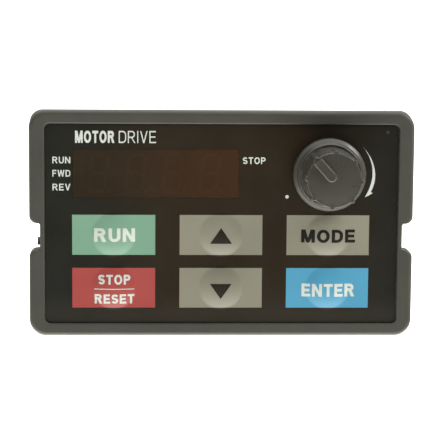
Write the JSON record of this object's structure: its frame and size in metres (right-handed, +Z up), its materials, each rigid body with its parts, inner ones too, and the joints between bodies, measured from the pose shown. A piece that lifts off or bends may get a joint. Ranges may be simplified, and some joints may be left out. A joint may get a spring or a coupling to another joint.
{
  "type": "drive keypad",
  "caption": "Panel keypad for a motor drive: dark bezel with display window, coloured domed keys and a ribbed speed knob.",
  "frame": {"origin": "centre of the bezel in the plane of its flange's rear seat", "axes": "+X to the right as seen from the front, +Z up, the face looks along -Y"},
  "size_m": [0.0728, 0.0303, 0.0428],
  "materials": {
    "housing_plastic": "fine spark texture",
    "overlay_film": "satin polyester film",
    "window_tint": "smoked film",
    "key_green": "satin printed film",
    "key_red": "satin printed film",
    "key_grey": "satin printed film",
    "key_blue": "satin printed film",
    "switch_nylon": "moulded nylon",
    "nickel_steel": "nickel plated",
    "tin_plate": "tin plated",
    "board_laminate": "solder mask on glass epoxy",
    "display_case": "moulded display case",
    "segment_resin": "diffusing epoxy",
    "lamp_resin": "diffusing epoxy",
    "pot_case": "moulded phenolic",
    "track_carbon": "carbon film on laminate",
    "contact_brass": "plain",
    "knob_plastic": "satin moulded",
    "chip_epoxy": "moulded epoxy",
    "chip_ceramic": "sintered",
    "can_aluminium": "plain",
    "resonator_ceramic": "dipped"
  },
  "bodies": {
    "housing": {"front_bezel": "housing_plastic", "rear_cover": "housing_plastic", "overlay_sheet": "overlay_film", "display_window": "window_tint", "switch_bases": "switch_nylon", "switch_covers": "nickel_steel", "switch_leads": "tin_plate", "snap_domes": "nickel_steel", "circuit_board": "board_laminate", "display_module": "display_case", "digit_segments": "segment_resin", "indicator_lamps": "lamp_resin", "display_pins": "tin_plate", "pot_housing": "pot_case", "pot_bushing": "nickel_steel", "pot_track": "track_carbon", "pot_terminals": "tin_plate", "controller_chip": "chip_epoxy", "controller_leads": "tin_plate", "digit_drivers": "chip_epoxy", "chip_resistors": "chip_epoxy", "chip_capacitors": "chip_ceramic", "smoothing_capacitor": "can_aluminium", "clock_resonator": "resonator_ceramic", "connector_shroud": "switch_nylon", "connector_pins": "contact_brass", "threaded_inserts": "contact_brass", "cover_screws": "nickel_steel"},
    "key_run": {"run_key": "key_green"},
    "key_stop_reset": {"stop_reset_key": "key_red"},
    "key_up": {"up_key": "key_grey"},
    "key_down": {"down_key": "key_grey"},
    "key_mode": {"mode_key": "key_grey"},
    "key_enter": {"enter_key": "key_blue"},
    "plunger_run": {"run_plunger": "switch_nylon"},
    "plunger_stop_reset": {"stop_reset_plunger": "switch_nylon"},
    "plunger_up": {"up_plunger": "switch_nylon"},
    "plunger_down": {"down_plunger": "switch_nylon"},
    "plunger_mode": {"mode_plunger": "switch_nylon"},
    "plunger_enter": {"enter_plunger": "switch_nylon"},
    "knob": {"pot_shaft": "nickel_steel", "pot_wiper": "contact_brass", "speed_knob": "knob_plastic"}
  },
  "joints": [
    {"name": "knob_turn", "type": "hinge", "parent": "housing", "child": "knob", "pos_m": [0.0202, -0.007, 0.0097], "axis": [0, 1, 0], "range_deg": [-98.5, 181.5]},
    {"name": "run_press", "type": "slide", "parent": "housing", "child": "key_run", "axis": [0, 1, 0], "range_m": [0, 0.00025], "stiffness_N_per_m": 10},
    {"name": "run_plunge", "type": "slide", "parent": "housing", "child": "plunger_run", "axis": [0, 1, 0], "range_m": [0, 0.00025]},
    {"name": "stop_reset_press", "type": "slide", "parent": "housing", "child": "key_stop_reset", "axis": [0, 1, 0], "range_m": [0, 0.00025], "stiffness_N_per_m": 10},
    {"name": "stop_reset_plunge", "type": "slide", "parent": "housing", "child": "plunger_stop_reset", "axis": [0, 1, 0], "range_m": [0, 0.00025]},
    {"name": "up_press", "type": "slide", "parent": "housing", "child": "key_up", "axis": [0, 1, 0], "range_m": [0, 0.00025], "stiffness_N_per_m": 10},
    {"name": "up_plunge", "type": "slide", "parent": "housing", "child": "plunger_up", "axis": [0, 1, 0], "range_m": [0, 0.00025]},
    {"name": "down_press", "type": "slide", "parent": "housing", "child": "key_down", "axis": [0, 1, 0], "range_m": [0, 0.00025], "stiffness_N_per_m": 10},
    {"name": "down_plunge", "type": "slide", "parent": "housing", "child": "plunger_down", "axis": [0, 1, 0], "range_m": [0, 0.00025]},
    {"name": "mode_press", "type": "slide", "parent": "housing", "child": "key_mode", "axis": [0, 1, 0], "range_m": [0, 0.00025], "stiffness_N_per_m": 10},
    {"name": "mode_plunge", "type": "slide", "parent": "housing", "child": "plunger_mode", "axis": [0, 1, 0], "range_m": [0, 0.00025]},
    {"name": "enter_press", "type": "slide", "parent": "housing", "child": "key_enter", "axis": [0, 1, 0], "range_m": [0, 0.00025], "stiffness_N_per_m": 10},
    {"name": "enter_plunge", "type": "slide", "parent": "housing", "child": "plunger_enter", "axis": [0, 1, 0], "range_m": [0, 0.00025]}
  ],
  "couplings": [
    {"joint": "run_plunge", "follows": "run_press", "ratio": 1},
    {"joint": "stop_reset_plunge", "follows": "stop_reset_press", "ratio": 1},
    {"joint": "up_plunge", "follows": "up_press", "ratio": 1},
    {"joint": "down_plunge", "follows": "down_press", "ratio": 1},
    {"joint": "mode_plunge", "follows": "mode_press", "ratio": 1},
    {"joint": "enter_plunge", "follows": "enter_press", "ratio": 1}
  ]
}
